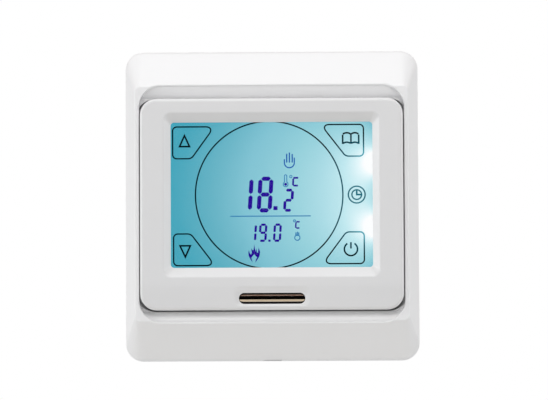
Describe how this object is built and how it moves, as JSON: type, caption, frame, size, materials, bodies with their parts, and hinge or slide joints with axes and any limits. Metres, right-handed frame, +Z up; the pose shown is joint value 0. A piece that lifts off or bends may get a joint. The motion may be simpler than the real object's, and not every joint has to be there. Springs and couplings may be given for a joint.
{
  "type": "wall thermostat",
  "caption": "Square white wall thermostat: a sloped surround frame, a pull-off touch-screen front with a lit display and a bright trim bar, and a boxed base with wire clamps behind.",
  "frame": {"origin": "middle of the wall screws, on the wall plane behind the base plate", "axes": "-Y faces the room, +Y goes into the wall box, +X to the right seen from the room, +Z up"},
  "size_m": [0.086, 0.041, 0.091],
  "materials": {
    "frame_plastic": "white, satin",
    "bezel_plastic": "white, satin",
    "trim_chrome": "bright, polished",
    "touch_glass": "clear, smooth",
    "lcd_glass": "lit blue-green display glass",
    "guide_acrylic": "clear acrylic",
    "reflector_film": "white film",
    "led_plastic": "pale lens",
    "gasket_foam": "black foam tape",
    "contact_rubber": "striped contact rubber",
    "display_plastic": "pale moulding",
    "ribbon_film": "amber film",
    "board_laminate": "green solder mask",
    "chip_epoxy": "black moulding",
    "connector_plastic": "black moulding",
    "pin_metal": "plated pins and bars",
    "bright_steel": "bright steel",
    "terminal_steel": "zinc plated",
    "base_plastic": "white moulding",
    "housing_plastic": "white moulding",
    "terminal_plastic": "dark grey moulding",
    "relay_case": "black case",
    "capacitor_case": "yellow case",
    "can_sleeve": "dark sleeve",
    "winding_tape": "yellow tape",
    "fuse_case": "brown case"
  },
  "bodies": {
    "base": {"base_plate": "base_plastic", "rear_housing": "housing_plastic", "housing_screws": "bright_steel", "power_board": "board_laminate", "relay": "relay_case", "mains_capacitor": "capacitor_case", "smoothing_capacitor": "can_sleeve", "transformer": "winding_tape", "fuse": "fuse_case", "board_socket": "connector_plastic", "retaining_springs": "bright_steel", "terminal_block": "terminal_plastic", "contact_bars": "pin_metal"},
    "frame": {"outer_frame": "frame_plastic"},
    "module": {"front_bezel": "bezel_plastic", "trim_bar": "trim_chrome", "touch_gasket": "gasket_foam", "touch_panel": "touch_glass", "touch_tail": "ribbon_film", "tail_connector": "connector_plastic", "lcd_panel": "lcd_glass", "light_guide": "guide_acrylic", "reflector_sheet": "reflector_film", "backlight_leds": "led_plastic", "display_frame": "display_plastic", "contact_strip": "contact_rubber", "control_board": "board_laminate", "microcontroller": "chip_epoxy", "clock_crystal": "bright_steel", "backup_cell": "bright_steel", "cell_clip": "bright_steel", "room_sensor": "chip_epoxy", "board_header": "connector_plastic", "header_pins": "pin_metal", "back_cover": "base_plastic", "back_cover_screws": "bright_steel"},
    "screw_1": {"terminal_screw_1": "terminal_steel"},
    "cage_1": {"terminal_cage_1": "terminal_steel"},
    "screw_2": {"terminal_screw_2": "terminal_steel"},
    "cage_2": {"terminal_cage_2": "terminal_steel"},
    "screw_3": {"terminal_screw_3": "terminal_steel"},
    "cage_3": {"terminal_cage_3": "terminal_steel"},
    "screw_4": {"terminal_screw_4": "terminal_steel"},
    "cage_4": {"terminal_cage_4": "terminal_steel"},
    "screw_5": {"terminal_screw_5": "terminal_steel"},
    "cage_5": {"terminal_cage_5": "terminal_steel"},
    "screw_6": {"terminal_screw_6": "terminal_steel"},
    "cage_6": {"terminal_cage_6": "terminal_steel"}
  },
  "joints": [
    {"name": "module_pull", "type": "slide", "parent": "base", "child": "module", "axis": [0, -1, 0], "range_m": [0, 0.03]},
    {"name": "frame_lift", "type": "slide", "parent": "base", "child": "frame", "axis": [0, -1, 0], "range_m": [0, 0.0121]},
    {"name": "cage_1_rise", "type": "slide", "parent": "base", "child": "cage_1", "axis": [0, 1, 0], "range_m": [0, 0.00225]},
    {"name": "screw_1_turn", "type": "hinge", "parent": "base", "child": "screw_1", "pos_m": [-0.01588, 0.0176, -0.0162], "axis": [0, -1, 0], "range_deg": [0, 1621]},
    {"name": "cage_2_rise", "type": "slide", "parent": "base", "child": "cage_2", "axis": [0, 1, 0], "range_m": [0, 0.00225]},
    {"name": "screw_2_turn", "type": "hinge", "parent": "base", "child": "screw_2", "pos_m": [-0.00953, 0.0176, -0.0162], "axis": [0, -1, 0], "range_deg": [0, 1621]},
    {"name": "cage_3_rise", "type": "slide", "parent": "base", "child": "cage_3", "axis": [0, 1, 0], "range_m": [0, 0.00225]},
    {"name": "screw_3_turn", "type": "hinge", "parent": "base", "child": "screw_3", "pos_m": [-0.00317, 0.0176, -0.0162], "axis": [0, -1, 0], "range_deg": [0, 1621]},
    {"name": "cage_4_rise", "type": "slide", "parent": "base", "child": "cage_4", "axis": [0, 1, 0], "range_m": [0, 0.00225]},
    {"name": "screw_4_turn", "type": "hinge", "parent": "base", "child": "screw_4", "pos_m": [0.00317, 0.0176, -0.0162], "axis": [0, -1, 0], "range_deg": [0, 1621]},
    {"name": "cage_5_rise", "type": "slide", "parent": "base", "child": "cage_5", "axis": [0, 1, 0], "range_m": [0, 0.00225]},
    {"name": "screw_5_turn", "type": "hinge", "parent": "base", "child": "screw_5", "pos_m": [0.00953, 0.0176, -0.0162], "axis": [0, -1, 0], "range_deg": [0, 1621]},
    {"name": "cage_6_rise", "type": "slide", "parent": "base", "child": "cage_6", "axis": [0, 1, 0], "range_m": [0, 0.00225]},
    {"name": "screw_6_turn", "type": "hinge", "parent": "base", "child": "screw_6", "pos_m": [0.01588, 0.0176, -0.0162], "axis": [0, -1, 0], "range_deg": [0, 1621]}
  ],
  "couplings": [
    {"joint": "frame_lift", "follows": "module_pull", "ratio": 0.4},
    {"joint": "screw_1_turn", "follows": "cage_1_rise", "rad_per_m": 12566},
    {"joint": "screw_2_turn", "follows": "cage_2_rise", "rad_per_m": 12566},
    {"joint": "screw_3_turn", "follows": "cage_3_rise", "rad_per_m": 12566},
    {"joint": "screw_4_turn", "follows": "cage_4_rise", "rad_per_m": 12566},
    {"joint": "screw_5_turn", "follows": "cage_5_rise", "rad_per_m": 12566},
    {"joint": "screw_6_turn", "follows": "cage_6_rise", "rad_per_m": 12566}
  ]
}
